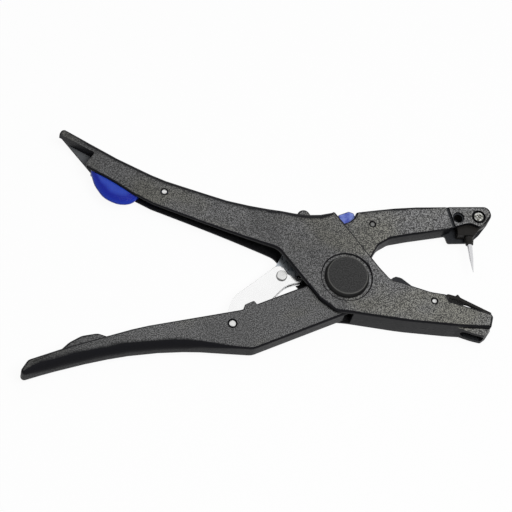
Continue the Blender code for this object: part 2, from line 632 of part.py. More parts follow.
def build_upper_jaw(mat):
    """The jaw lever: hub, arm with its fork, and the tail that the knee link pushes."""
    low = MID - JAW_THICK / 2
    high = MID + JAW_THICK / 2

    def front_rim(point, outward):
        if outward.y < 0.8:
            return EDGE_R, EDGE_R
        return widened(min((point.x - 9.0) / 5.0, (56.0 - point.x) / 36.0), ARM_TOP_REACH,
                       ARM_TOP_RISE)

    jaw = soft_plate("upper_jaw", divided(rounded(JAW_ARM), 7.0), low, high, PART, EDGE_R, front_rim)
    cut_plate(jaw, "fork_pocket", rounded(FORK_POCKET), low + FORK_WALL, high - FORK_WALL)
    cut_plate(jaw, "fork_trim", rounded(FORK_TRIM), low + FORK_WALL + 0.5, high + 1)
    cut_plate(jaw, "jaw_groove", rounded(JAW_GROOVE), high - 1.4, high + 1)
    cut_plate(jaw, "latch_slot", rounded(LATCH_SLOT), MID - LATCH_THICK / 2 - GAP,
              MID + LATCH_THICK / 2 + GAP)

    tail = bar_outline((0, 0), along_tail(TAIL_OVERHANG), TAIL_START_R, TAIL_END_R)
    tail_plate = soft_plate("jaw_tail", tail, MID - TAIL_THICK / 2, MID + TAIL_THICK / 2, CUTTERS,
                            EDGE_R)
    combine(jaw, tail_plate, "UNION")
    for side, z_low, z_high in (("rear", -1, MID - HUB_THICK / 2),
                                ("front", MID + HUB_THICK / 2, HEAD_THICK + 1)):
        cut_disc(jaw, "eye_room_" + side, (0, 0), EYE_CLEAR_R, z_low, z_high, 48)
    combine(jaw, disc("jaw_hub", (0, 0), HUB_R, MID - HUB_THICK / 2, MID + HUB_THICK / 2, CUTTERS, 40),
            "UNION")
    knee_room = KNEE_THICK / 2 + GAP
    slot = bar_outline(along_tail(-TAIL_SLOT_LENGTH), TAIL_PIN, TAIL_SLOT_START_R,
                       KNEE_END_EYE_R + TAIL_PIN_SLACK + GAP)
    cut_plate(jaw, "tail_slot", slot, MID - knee_room, MID + knee_room)
    cut_disc(jaw, "tail_pin_hole", TAIL_PIN, TAIL_PIN_R + GAP, 0, HEAD_THICK, 24)
    cut_disc(jaw, "jaw_bore", (0, 0), PIVOT_R + GAP, 0, HEAD_THICK, 40)
    cut_ring(jaw, "spring_pocket", SPRING_R, 2 * (SPRING_WIRE_R + 2 * GAP),
             MID - 0.4, MID + HUB_THICK / 2 + 1)
    cut_disc(jaw, "spring_foot_hole", SPRING_R * heading(SPRING_ANGLE), SPRING_WIRE_R + GAP,
             MID - 2.2, MID + 1, 12)
    cut_disc(jaw, "latch_pin_hole", LATCH_PIN, LATCH_PIN_R + GAP, 0, HEAD_THICK, 24)
    cut_disc(jaw, "latch_pin_sink", LATCH_PIN, LATCH_PIN_SINK_R, high - 0.6, high + 1, 24)
    cut_disc(jaw, "screw_hole", SCREW, SCREW_R + GAP, 0, HEAD_THICK, 24)
    cut_disc(jaw, "screw_sink", SCREW, SCREW_SINK_R, high - SCREW_SINK_DEPTH, high + 1, 32)
    cut_disc(jaw, "spare_hole", SPARE_HOLE, SPARE_HOLE_R, MID, HEAD_THICK, 24)
    cut_disc(jaw, "spare_sink", SPARE_HOLE, SPARE_SINK_R, high - SPARE_SINK_DEPTH, high + 1, 32)
    finish(jaw, mat)


def cut_ring(obj, name, radius, width, z_low, z_high):
    """A ring-shaped pocket round the main pivot."""
    outer = radius + width / 2
    inner = radius - width / 2
    tool = turned(name, [(outer, z_high), (outer, z_low), (inner, z_low), (inner, z_high)],
                  (0, 0), CUTTERS, ring=True, sides=40)
    combine(obj, tool, "DIFFERENCE")


def build_pivot(steel, plastic):
    """The shouldered rivet through the head, its ring, the cap and the washers."""
    shaft_top = CAP_SEAT + GAP + RETAINER_THICK + 0.3
    pin = turned("pivot_pin", [
        (0, shaft_top), (PIVOT_R - 0.4, shaft_top), (PIVOT_R, shaft_top - 0.4),
        (PIVOT_R, PIVOT_FLANGE_THICK), (PIVOT_FLANGE_R, PIVOT_FLANGE_THICK),
        (PIVOT_FLANGE_R, 0.3), (PIVOT_FLANGE_R - 0.3, 0), (0, 0)], (0, 0), PART)
    finish(pin, steel)
    seat = CAP_SEAT + GAP
    finish(washer("pivot_retainer", PIVOT_R + GAP / 2, RETAINER_R, seat, seat + RETAINER_THICK), steel)
    top = HEAD_THICK + CAP_PROUD
    top_r = CAP_R - CAP_SHOULDER
    cap = turned("pivot_cap", [
        (0, top), (top_r - 0.2, top), (top_r + 0.25 * CAP_SHOULDER, top - 0.3),
        (top_r + 0.55 * CAP_SHOULDER, top - 0.9), (CAP_R, seat + 0.6), (CAP_R, seat),
        (CAP_HOLLOW_R, seat), (CAP_HOLLOW_R, shaft_top + GAP), (0, shaft_top + GAP)],
        (0, 0), PART, sides=64)
    finish(cap, plastic)
    lever_low = MID - LEVER_THICK / 2
    lever_high = MID + LEVER_THICK / 2
    finish(washer("thrust_washer_rear", PIVOT_R + GAP, WASHER_REAR_R, CHEEK_WALL + GAP, lever_low - GAP),
           steel)
    finish(washer("thrust_washer_front", PIVOT_R + GAP, WASHER_FRONT_R, lever_high + GAP,
                  HEAD_THICK - CHEEK_WALL - GAP), steel)


def washer(name, inner, outer, z_low, z_high):
    """A flat ring round the main pivot."""
    return turned(name, [(outer, z_high), (outer, z_low), (inner, z_low), (inner, z_high)],
                  (0, 0), PART, ring=True)


def build_jaw_spring(steel):
    """Torsion spring in the hub: one foot in the hub's floor, the other in the front cheek."""
    foot = SPRING_R * heading(SPRING_ANGLE)
    first_z = MID + 0.4
    points = [(*foot, MID - 1.6), (*foot, first_z - 0.4)]
    steps = 12
    for k in range(SPRING_TURNS * steps + 1):
        place = SPRING_R * heading(SPRING_ANGLE + 360 * k / steps)
        points.append((*place, first_z + SPRING_PITCH * k / steps))
    last_z = first_z + SPRING_PITCH * SPRING_TURNS
    points.append((*foot, last_z + 0.5))
    points.append((*foot, HEAD_THICK - CHEEK_WALL + 0.4))
    finish(wire("jaw_spring", points, SPRING_WIRE_R), steel)


def build_link(steel, dark):
    """The knee: two plates from the lower handle, and the inner link up to the jaw's tail."""
    plate_low = MID + KNEE_THICK / 2 + STACK_GAP
    sides = (("link_plate_front", plate_low, plate_low + PLATE_THICK),
             ("link_plate_rear", 2 * MID - plate_low - PLATE_THICK, 2 * MID - plate_low))
    for name, z_low, z_high in sides:
        piece = soft_plate(name, rounded(PLATE_OUTLINE), z_low, z_high, PART, 0.2, steps=1)
        cut_disc(piece, name + "_pin_hole", LINK_PIN, LINK_PIN_R + GAP, 0, HEAD_THICK, 24)
        cut_disc(piece, name + "_knee_hole", KNEE, KNEE_RIVET_R + GAP, 0, HEAD_THICK, 24)
        finish(piece, steel)

    knee = plate("knee_link", bar_outline(KNEE, TAIL_PIN, KNEE_EYE_R, KNEE_END_EYE_R),
                 MID - KNEE_THICK / 2, MID + KNEE_THICK / 2, PART)
    join_plate(knee, "knee_heel", bar_outline(KNEE, KNEE_HEEL, KNEE_HEEL_START_R, KNEE_HEEL_R, 10),
               MID - KNEE_THICK / 2, MID + KNEE_THICK / 2)
    cut_disc(knee, "knee_hole", KNEE, KNEE_RIVET_R + GAP, 0, HEAD_THICK, 24)
    cut_disc(knee, "knee_tail_hole", TAIL_PIN, TAIL_PIN_R + TAIL_PIN_SLACK + GAP, 0, HEAD_THICK, 24)
    finish(knee, dark)

    half = KNEE_THICK / 2 + STACK_GAP + PLATE_THICK + STACK_GAP
    head = LEVER_SLOT / 2 - GAP
    rivet = turned("knee_rivet", [
        (0, MID + head), (KNEE_HEAD_R - 0.35, MID + head), (KNEE_HEAD_R, MID + head - 0.35),
        (KNEE_HEAD_R, MID + half), (KNEE_RIVET_R, MID + half), (KNEE_RIVET_R, MID - half),
        (KNEE_HEAD_R, MID - half), (KNEE_HEAD_R, MID - head + 0.35),
        (KNEE_HEAD_R - 0.35, MID - head), (0, MID - head)], KNEE, PART, sides=32)
    finish(rivet, steel)
    spacer = turned("link_spacer", [
        (4.6, MID + KNEE_THICK / 2), (4.6, MID - KNEE_THICK / 2),
        (LINK_PIN_R + GAP, MID - KNEE_THICK / 2), (LINK_PIN_R + GAP, MID + KNEE_THICK / 2)],
        LINK_PIN, PART, ring=True, sides=24)
    finish(spacer, steel)
    finish(pin("link_pin", LINK_PIN, LINK_PIN_R, LEVER_THICK - 0.2), steel)
    finish(pin("tail_pin", TAIL_PIN, TAIL_PIN_R, TAIL_THICK - 0.2), steel)


def pin(name, centre, radius, length):
    """A plain pin across the middle plane, with chamfered ends."""
    top = MID + length / 2
    bottom = MID - length / 2
    return turned(name, [
        (0, top), (radius - 0.3, top), (radius, top - 0.3), (radius, bottom + 0.3),
        (radius - 0.3, bottom), (0, bottom)], centre, PART, sides=24)


def build_trigger(blue, steel):
    """The blue trigger under the end of the upper handle, its pin and its spring."""
    half = TRIGGER_THICK / 2

    def front_rim(point, outward):
        part = min(1.0, (-0.15 - outward.y) / 0.35, (point.x + 138.0) / 5.0, (-111.5 - point.x) / 4.0)
        part = max(0.0, part)
        return (TRIGGER_EDGE_R + (TRIGGER_REACH - TRIGGER_EDGE_R) * part,
                TRIGGER_EDGE_R + (TRIGGER_RISE - TRIGGER_EDGE_R) * part)

    trigger = soft_plate("release_trigger", divided(rounded(TRIGGER_POD), 4.0), MID - half,
                         MID + half, PART, TRIGGER_EDGE_R, front_rim, 5)
    arm = bar_outline(TRIGGER_ARM_START, TRIGGER_PIN, *TRIGGER_ARM_R)
    join_plate(trigger, "trigger_arm", arm, MID - TRIGGER_ARM_THICK / 2, MID + TRIGGER_ARM_THICK / 2)
    cut_disc(trigger, "trigger_bore", TRIGGER_PIN, TRIGGER_PIN_R + GAP, 0, HEAD_THICK, 24)
    finish(trigger, blue)
    finish(pin("trigger_pin", TRIGGER_PIN, TRIGGER_PIN_R, HANDLE_END_THICK), steel)
    axis = Vector((*TRIGGER_SPRING_AXIS, 0)).normalized()
    start = Vector((*TRIGGER_SPRING_START, MID))
    points = coil(start, axis, TRIGGER_SPRING_LENGTH, TRIGGER_SPRING_R, TRIGGER_SPRING_WIRE_R, 3)
    finish(wire("trigger_spring", points, TRIGGER_SPRING_WIRE_R), steel)


def build_latch(blue, dark, steel):
    """The blue latch at the top of the jaw's arm, its pin and its spring."""
    latch = soft_plate("latch_lever", rounded(LATCH_OUTLINE), MID - LATCH_THICK / 2,
                       MID + LATCH_THICK / 2, PART, 0.6)
    cut_disc(latch, "latch_bore", LATCH_PIN, LATCH_PIN_R + GAP, 0, HEAD_THICK, 24)
    finish(latch, blue)
    finish(pin("latch_pin", LATCH_PIN, LATCH_PIN_R, JAW_THICK - 0.2), dark)
    start = Vector((*LATCH_SPRING_START, MID))
    points = coil(start, Vector((0, 1, 0)), LATCH_SPRING_LENGTH, LATCH_SPRING_R, LATCH_SPRING_WIRE_R, 4)
    finish(wire("latch_spring", points, LATCH_SPRING_WIRE_R), steel)


def build_needle(steel, dark, mid_steel):
    """The needle, its collar, the block in the fork, and the screw and nut that hold it."""
    axis = Vector((NEEDLE_TOP[0] - NEEDLE_TIP[0], NEEDLE_TOP[1] - NEEDLE_TIP[1], 0))
    length = axis.length
    turn = Matrix.Translation(Vector((*NEEDLE_TIP, MID)) * MM) @ (
        Vector((0, 0, 1)).rotation_difference(axis).to_matrix().to_4x4())

    needle = turned("needle", [
        (0, length), (NEEDLE_R - 0.3, length), (NEEDLE_R, length - 0.3), (NEEDLE_R, NEEDLE_TAPER),
        (0.72 * NEEDLE_R, 0.45 * NEEDLE_TAPER), (NEEDLE_TIP_R, 0.3), (0, 0)], (0, 0), PART, sides=24)
    needle.matrix_world = turn
    finish(needle, steel)

    half = (JAW_THICK - 2 * FORK_WALL) / 2 - GAP
    holder = soft_plate("needle_holder", rounded(HOLDER_OUTLINE), MID - half, MID + half, PART,
                        0.3, steps=1)
    bore = turned("needle_bore", [
        (0, length + GAP), (NEEDLE_R + GAP, length + GAP), (NEEDLE_R + GAP, 0), (0, 0)],
        (0, 0), CUTTERS, sides=24)
    bore.matrix_world = turn
    combine(holder, bore, "DIFFERENCE")
    cut_disc(holder, "holder_screw_hole", SCREW, SCREW_R + GAP, 0, HEAD_THICK, 24)
    cut_disc(holder, "holder_spare_hole", SPARE_HOLE, SPARE_HOLE_R, 0, HEAD_THICK, 24)
    finish(holder, dark)

    collar_top = HOLDER_OUTLINE[0][1] - GAP - NEEDLE_TIP[1]
    collar_low = collar_top - COLLAR_LENGTH
    collar = turned("needle_collar", [
        (COLLAR_R, collar_top), (COLLAR_R, collar_top - 0.4 * COLLAR_LENGTH),
        (NEEDLE_R + GAP + 0.3, collar_low), (NEEDLE_R + GAP, collar_low),
        (NEEDLE_R + GAP, collar_top)], (0, 0), PART, ring=True, sides=24)
    collar.matrix_world = turn
    finish(collar, dark)

    jaw_low = MID - JAW_THICK / 2
    head_low = MID + JAW_THICK / 2 - SCREW_SINK_DEPTH + GAP
    head_high = head_low + SCREW_HEAD_THICK
    nut_high = jaw_low - GAP
    nut_low = nut_high - NUT_THICK
    screw = turned("needle_screw", [
        (0, head_high), (SCREW_HEAD_R - 0.5, head_high), (SCREW_HEAD_R - 0.1, head_high - 0.2),
        (SCREW_HEAD_R, head_high - 0.6), (SCREW_HEAD_R, head_low), (SCREW_R, head_low),
        (SCREW_R, nut_low + 0.3), (SCREW_R - 0.3, nut_low), (0, nut_low)], SCREW, PART, sides=32)
    for turn_deg in (45, 135):
        blade = disc_box("screw_recess_%d" % turn_deg, SCREW, 3.4, 0.7, head_high - 0.9, head_high + 0.5,
                         turn_deg)
        combine(screw, blade, "DIFFERENCE")
    finish(screw, mid_steel)
    nut = disc("needle_nut", SCREW, NUT_R, nut_low, nut_high, PART, 6)
    cut_disc(nut, "nut_bore", SCREW, SCREW_R + GAP / 2, nut_low - 1, nut_high + 1, 24)
    finish(nut, mid_steel)


def disc_box(name, centre, length, width, z_low, z_high, turn_deg):
    """A narrow box cutter, turned about its own Z."""
    bm = bmesh.new()
    bmesh.ops.create_cube(bm, size=1)
    bmesh.ops.scale(bm, verts=bm.verts, vec=(length * MM, width * MM, (z_high - z_low) * MM))
    bmesh.ops.rotate(bm, verts=bm.verts, cent=(0, 0, 0),
                     matrix=Matrix.Rotation(math.radians(turn_deg), 3, "Z"))
    bmesh.ops.translate(
        bm, verts=bm.verts,
        vec=(centre[0] * MM, centre[1] * MM, (z_low + z_high) / 2 * MM))
    mesh = bpy.data.meshes.new(name)
    bm.to_mesh(mesh)
    bm.free()
    return new_object(name, mesh, CUTTERS)


def build_clip(dark, steel):
    """The black spring clip over the lower jaw, notched for the tag's stud, and its pin."""
    half = CLIP_WIDTH / 2
    clip = plate("tag_clip", rounded(CLIP_OUTLINE), MID - half, MID + half, PART)
    cut_disc(clip, "clip_bore", CLIP_PIN, CLIP_PIN_R + GAP, 0, HEAD_THICK, 24)
    radius = CLIP_NOTCH_WIDTH / 2
    notch = plate("clip_notch", bar_outline((CLIP_NOTCH_X + radius, MID), (95.0, MID), radius, radius, 8),
                  -10.0, 30.0, CUTTERS)
    notch.data.transform(Matrix.Rotation(math.radians(90), 4, "X"))
    combine(clip, notch, "DIFFERENCE")
    finish(clip, dark)
    finish(pin("clip_pin", CLIP_PIN, CLIP_PIN_R, HEAD_THICK - 0.2), steel)


PART = "Ear tag applicator"
CUTTERS = "Cutters"


def main():
    for obj in list(bpy.data.objects):
        bpy.data.objects.remove(obj)
    for name in (PART, CUTTERS):
        bpy.context.scene.collection.children.link(bpy.data.collections.new(name))
    nylon = material("glass_filled_nylon", (0.085, 0.085, 0.083), 0.55)
    cap_black = material("cap_plastic", (0.05, 0.05, 0.05), 0.5)
    black = material("black_steel", (0.02, 0.02, 0.02), 0.45, 0.4)
    steel = material("polished_steel", (0.75, 0.75, 0.76), 0.25, 1.0)
    blue = material("blue_plastic", (0.02, 0.05, 0.5), 0.35)
    build_frame(nylon)
    build_lower_handle(nylon)
    build_upper_jaw(nylon)
    build_pivot(steel, cap_black)
    build_jaw_spring(steel)
    build_link(steel, black)
    build_trigger(blue, steel)
    build_latch(blue, black, steel)
    build_needle(steel, black, steel)
    build_clip(black, steel)


main()
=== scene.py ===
"""Ear tag applicator, dressed for its photograph: finishes, studio light, floor and camera.

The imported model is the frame. Its nodes keep their shapes, and get smooth shading and procedural
finishes. Only the pivot's cap is replaced, by one with a softer edge.
"""

import json
import math

import bmesh
import bpy
from mathutils import Matrix, Vector

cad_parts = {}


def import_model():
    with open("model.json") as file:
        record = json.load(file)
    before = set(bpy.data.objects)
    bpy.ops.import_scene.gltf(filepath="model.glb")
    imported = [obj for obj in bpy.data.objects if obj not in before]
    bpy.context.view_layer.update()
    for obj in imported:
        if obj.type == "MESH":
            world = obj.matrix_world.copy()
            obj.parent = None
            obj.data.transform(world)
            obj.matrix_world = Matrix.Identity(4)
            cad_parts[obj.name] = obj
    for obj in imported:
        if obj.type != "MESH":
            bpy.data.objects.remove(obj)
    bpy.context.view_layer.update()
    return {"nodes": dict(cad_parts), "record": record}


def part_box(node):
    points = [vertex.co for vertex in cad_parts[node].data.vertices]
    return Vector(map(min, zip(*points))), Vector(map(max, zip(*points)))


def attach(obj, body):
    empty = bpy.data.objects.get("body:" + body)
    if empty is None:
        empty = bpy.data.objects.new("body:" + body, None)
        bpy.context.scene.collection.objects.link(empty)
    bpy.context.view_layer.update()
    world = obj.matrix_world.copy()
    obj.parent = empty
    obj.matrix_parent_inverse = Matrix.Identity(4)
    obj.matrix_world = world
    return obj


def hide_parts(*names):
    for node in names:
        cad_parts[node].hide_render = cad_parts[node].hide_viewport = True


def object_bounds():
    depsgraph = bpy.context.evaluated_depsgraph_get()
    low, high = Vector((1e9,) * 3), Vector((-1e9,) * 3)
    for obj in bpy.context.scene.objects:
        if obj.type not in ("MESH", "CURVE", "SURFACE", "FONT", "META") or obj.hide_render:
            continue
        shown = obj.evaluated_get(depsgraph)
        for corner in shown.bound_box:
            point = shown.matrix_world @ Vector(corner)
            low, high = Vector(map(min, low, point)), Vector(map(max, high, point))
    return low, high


MM = 0.001
WHITE = (1.0, 1.0, 1.0)

# The photograph's camera, with its place in millimetres in the object's own frame
LENS_PIXELS = 2200.0
PICTURE_PIXELS = 512.0
SENSOR_WIDTH = 36.0
CLIP_METRES = (0.05, 20.0)
CAMERA_PLACE = (-230.7, -488.1, 1076.4)
CAMERA_RIGHT = (0.988, -0.034, 0.153)
CAMERA_UP = (-0.034, 0.907, 0.421)

# The light tent: where its bright roof lies, between which angles from there it fades to the walls,
# how bright they are against it, its tint, and how strongly it all lights the object
ROOF_DIRECTION = (0.15, 0.45, 0.88)
ROOF_EDGE_DEG = (30.0, 47.0)
TENT_WALL = 0.025
TENT_TINT = (0.99, 0.99, 1.0)
TENT_FILL = 0.50

# The square lamp above the object, in metres and watts
LAMP_PLACE = (0.22, -0.22, 1.15)
LAMP_AIM = (-0.04, 0.01, 0.0)
LAMP_SIDE = 0.7
LAMP_POWER = 12.0

# The paper on the floor, and the share of its own glow in what the camera, gloss and glass see
FLOOR_HALF_METRES = 3.0
FLOOR_DROP = 0.3             # millimetres below the faces that rest on it
FLOOR_GREY = (0.86, 0.86, 0.86)
FLOOR_GLOW = 0.94

# Where the finish of the mouldings changes, in millimetres, each from where to where it fades
MID_PLANE = 8.5                 # the moulds part here
PARTING_LINE = (0.05, 0.16)     # from the middle plane: the raised line on the sides
SUNK_FACES = (4.25, 4.40)       # from the middle plane: faces nearer to it are sunk
# Painted shade darkens the grips' ends, and painted light pales the jaws
PAINTED_SHADE_GRIP_ENDS_X = (-170.0, -105.0)
PAINTED_LIGHT_JAWS_X = (-5.0, 35.0)
JAWS_START_X = (22.0, 24.0)     # only ahead of this are the sunk faces smooth
# Below this, the channels' rear wall is painted nearly black as shade
REAR_HALF_Z = (8.0, 8.4)
# Where the rear cheek at the upper handle's tip gets painted light
TIP_NOTCH_X = (-135.5, -134.5)
TIP_NOTCH_Z = (5.6, 6.0)

# Holes in the mouldings with a painted shadow round what sits in them: centre and radius in
# millimetres, and how far past the radius the painted shadow fades
PIN_SHADOWS = [
    (16.6, 33.6, 1.95), (-62.9, -28.0, 2.65), (-98.0, 49.1, 2.1), (47.6, -12.7, 2.0),
    (77.1, 40.5, 3.9),
]
SHADOW_FADE = 0.2

# How facets are shaded: corners this near, in millimetres, are one, and an edge at which the faces
# turn by more than the angle stays crisp
WELD_REACH = 0.002
CRISP_EDGE_DEG = 47.0
CRISP_CAP_EDGE_DEG = 40.0
FLAT_FACE_WEIGHT = 50

# The cap's hollow, in millimetres, and the steps of its turned shape
CAP_HOLLOW_RADIUS = 7.6
CAP_HOLLOW_Z = 17.5
CAP_STEPS = 96


# Node trees

class Nodes:
    """A node tree and short ways to add to it. A value is a number or a node's output."""

    def __init__(self, tree):
        self.tree = tree

    def node(self, kind, **settings):
        made = self.tree.nodes.new(kind)
        for key, value in settings.items():
            setattr(made, key, value)
        return made

    def feed(self, socket, value):
        """Link a socket to an output, or set it to a number or vector."""
        if isinstance(value, bpy.types.NodeSocket):
            self.tree.links.new(value, socket)
        else:
            socket.default_value = value

    def feed_colour(self, socket, colour):
        """Link a socket to an output, or set it to a colour of three numbers."""
        self.feed(socket, (*colour, 1.0) if isinstance(colour, tuple) else colour)

    def ramp(self, value, low, high, to_low=0.0, to_high=1.0, interpolation="LINEAR"):
        """A value carried from one range to another, and held at its ends."""
        step = self.node("ShaderNodeMapRange", interpolation_type=interpolation)
        self.feed(step.inputs["Value"], value)
        self.feed(step.inputs["From Min"], low)
        self.feed(step.inputs["From Max"], high)
        self.feed(step.inputs["To Min"], to_low)
        self.feed(step.inputs["To Max"], to_high)
        return step.outputs["Result"]

    def combine(self, operation, *values):
        """Arithmetic on one or two values."""
        made = self.node("ShaderNodeMath", operation=operation)
        for socket, value in zip(made.inputs, values):
            self.feed(socket, value)
        return made.outputs["Value"]

    def combine_vectors(self, operation, first, second, out):
        """Arithmetic on two vectors; out is Vector or Value, as the operation gives."""
        made = self.node("ShaderNodeVectorMath", operation=operation)
        self.feed(made.inputs[0], first)
        self.feed(made.inputs[1], second)
        return made.outputs[out]

    def white_rays(self):
        """1 for rays that see the white background: from the camera, off gloss, through glass."""
        rays = self.node("ShaderNodeLightPath").outputs
        straight = self.combine("MAXIMUM", rays["Is Camera Ray"], rays["Is Transmission Ray"])
        return self.combine("MAXIMUM", straight, rays["Is Glossy Ray"])

    def mix_shaders(self, share, first, second, surface):
        """Send a mix of two shaders to a surface."""
        mix = self.node("ShaderNodeMixShader")
        for socket, value in zip(mix.inputs, (share, first, second)):
            self.feed(socket, value)
        self.feed(surface, mix.outputs["Shader"])


class Finish(Nodes):
    """A Principled material and short ways to give it patterns, on Object coordinates."""

    def __init__(self, name, metallic=0.0, specular=0.5):
        self.material = bpy.data.materials.new(name)
        self.material.use_nodes = True
        super().__init__(self.material.node_tree)
        self.shader = self.tree.nodes["Principled BSDF"].inputs
        self.shader["Metallic"].default_value = metallic
        self.shader["Specular IOR Level"].default_value = specular
        self.coords = self.node("ShaderNodeTexCoord").outputs

    def noise(self, scale, detail=3.0, roughness=0.55, stretch=None):
        """Fractal noise, its scale in waves per metre."""
        noise = self.node("ShaderNodeTexNoise")
        noise.inputs["Scale"].default_value = scale
        noise.inputs["Detail"].default_value = detail
        noise.inputs["Roughness"].default_value = roughness
        place = self.coords["Object"]
        if stretch:
            mapping = self.node("ShaderNodeMapping")
            mapping.inputs["Scale"].default_value = stretch
            self.feed(mapping.inputs["Vector"], place)
            place = mapping.outputs["Vector"]
        self.feed(noise.inputs["Vector"], place)
        return noise.outputs["Fac"]

    def axes(self, coordinates):
        """The X, Y and Z of the Object coordinates or the Normal."""
        split = self.node("ShaderNodeSeparateXYZ")
        self.feed(split.inputs["Vector"], self.coords[coordinates])
        return split.outputs

    def along(self, distance, span, at_start=0.0, at_end=1.0):
        """A ramp between two places or distances, which are in millimetres."""
        return self.ramp(distance, span[0] * MM, span[1] * MM, at_start, at_end)

    def facing_front(self, low=0.93, high=0.99):
        """1 on faces that look along +Z or -Z, 0 on the sides and the rounded rims."""
        return self.ramp(self.combine("ABSOLUTE", self.axes("Normal")["Z"]), low, high)

    def inside_circles(self, circles):
        """1 within any of some circles, seen along Z; centres and radii are in millimetres."""
        flat = self.combine_vectors("MULTIPLY", self.coords["Object"], (1, 1, 0), "Vector")
        inside = 0.0
        for x, y, radius in circles:
            reach = self.combine_vectors("DISTANCE", flat, (x * MM, y * MM, 0), "Value")
            circle = self.along(reach, (radius, radius + SHADOW_FADE), 1.0, 0.0)
            inside = self.combine("MAXIMUM", inside, circle)
        return inside

    def blend(self, factor, first, second):
        """Two colours, each a tone or an output, mixed by a value."""
        mix = self.node("ShaderNodeMix", data_type="RGBA")
        self.feed(mix.inputs["Factor"], factor)
        self.feed_colour(mix.inputs["A"], first)
        self.feed_colour(mix.inputs["B"], second)
        return mix.outputs["Result"]

    def colour(self, colour):
        self.feed_colour(self.shader["Base Color"], colour)

    def roughness(self, value, low, high, at_low, at_high):
        """Roughness that follows a value from one range to another."""
        self.feed(self.shader["Roughness"], self.ramp(value, low, high, at_low, at_high))

    def relief(self, value, depth, strength=1.0):
        """Fine relief of the surface; depth is in millimetres."""
        bump = self.node("ShaderNodeBump")
        bump.inputs["Distance"].default_value = depth * MM
        bump.inputs["Strength"].default_value = strength
        self.feed(bump.inputs["Height"], value)
        self.feed(self.shader["Normal"], bump.outputs["Normal"])


# Camera, light and floor

def place_camera():
    """A long lens, high above the side of the lower handle."""
    right = Vector(CAMERA_RIGHT).normalized()
    up = Vector(CAMERA_UP)
    up = (up - right * up.dot(right)).normalized()
    back = right.cross(up)
    turn = Matrix((right, up, back)).transposed().to_4x4()
    data = bpy.data.cameras.new("Photograph camera")
    data.sensor_width = SENSOR_WIDTH
    data.lens = SENSOR_WIDTH * LENS_PIXELS / PICTURE_PIXELS
    data.clip_start, data.clip_end = CLIP_METRES
    camera = bpy.data.objects.new("Photograph camera", data)
    camera.matrix_world = Matrix.Translation(Vector(CAMERA_PLACE) * MM) @ turn
    bpy.context.scene.collection.objects.link(camera)
    bpy.context.scene.camera = camera


def roof_lamp():
    """A soft lamp above the object. Gloss sees the white background in its place."""
    data = bpy.data.lights.new("Roof lamp", "AREA")
    data.shape = "SQUARE"
    data.size = LAMP_SIDE
    data.energy = LAMP_POWER
    lamp = bpy.data.objects.new("Roof lamp", data)
    lamp.location = LAMP_PLACE
    aim = Vector(LAMP_AIM) - Vector(LAMP_PLACE)
    lamp.rotation_euler = aim.to_track_quat("-Z", "Y").to_euler()
    lamp.visible_glossy = False
    bpy.context.scene.collection.objects.link(lamp)


def studio_world():
    """A light tent: soft light from a bright roof behind the object, and from darker walls.

    The camera sees plain white round the object, and so do gloss and glass.
    """
    world = bpy.data.worlds.new("Light tent")
    bpy.context.scene.world = world
    world.use_nodes = True
    world.node_tree.nodes.clear()
    sky = Nodes(world.node_tree)
    around = sky.node("ShaderNodeTexCoord").outputs["Generated"]
    roof = Vector(ROOF_DIRECTION).normalized()
    toward_roof = sky.combine_vectors("DOT_PRODUCT", around, roof, "Value")
    bright, dark = (math.cos(math.radians(angle)) for angle in ROOF_EDGE_DEG)
    level = sky.ramp(toward_roof, dark, bright, TENT_WALL, 1.0, "SMOOTHSTEP")
    tent = sky.node("ShaderNodeBackground")
    sky.feed_colour(tent.inputs["Color"], TENT_TINT)
    sky.feed(tent.inputs["Strength"], sky.combine("MULTIPLY", level, TENT_FILL))
    plain = sky.node("ShaderNodeBackground")
    sky.feed_colour(plain.inputs["Color"], WHITE)
    sky.feed(plain.inputs["Strength"], 1.0)
    surface = sky.node("ShaderNodeOutputWorld").inputs["Surface"]
    sky.mix_shaders(sky.white_rays(), tent.outputs["Background"], plain.outputs["Background"],
                    surface)


def studio_paper():
    """White paper that shows white to the camera, gloss and glass, and keeps a soft shadow."""
    finish = Finish("Studio paper", specular=0.1)
    finish.colour(FLOOR_GREY)
    finish.feed(finish.shader["Roughness"], 0.9)
    glow = finish.node("ShaderNodeEmission")
    finish.feed_colour(glow.inputs["Color"], WHITE)
    finish.feed(glow.inputs["Strength"], 1.0)
    share = finish.combine("MULTIPLY", finish.white_rays(), FLOOR_GLOW)
    paper = finish.tree.nodes["Principled BSDF"].outputs["BSDF"]
    surface = finish.tree.nodes["Material Output"].inputs["Surface"]
    finish.mix_shaders(share, paper, glow.outputs["Emission"], surface)
    return finish.material


def pale_floor(height):
    """A wide sheet of the studio paper."""
    bm = bmesh.new()
    bmesh.ops.create_grid(bm, x_segments=1, y_segments=1, size=FLOOR_HALF_METRES)
    bmesh.ops.translate(bm, verts=bm.verts, vec=(0, 0, height))
    mesh = bpy.data.meshes.new("White floor")
    bm.to_mesh(mesh)
    bm.free()
    mesh.materials.append(studio_paper())
    floor = bpy.data.objects.new("White floor", mesh)
    bpy.context.scene.collection.objects.link(floor)


# Finishes

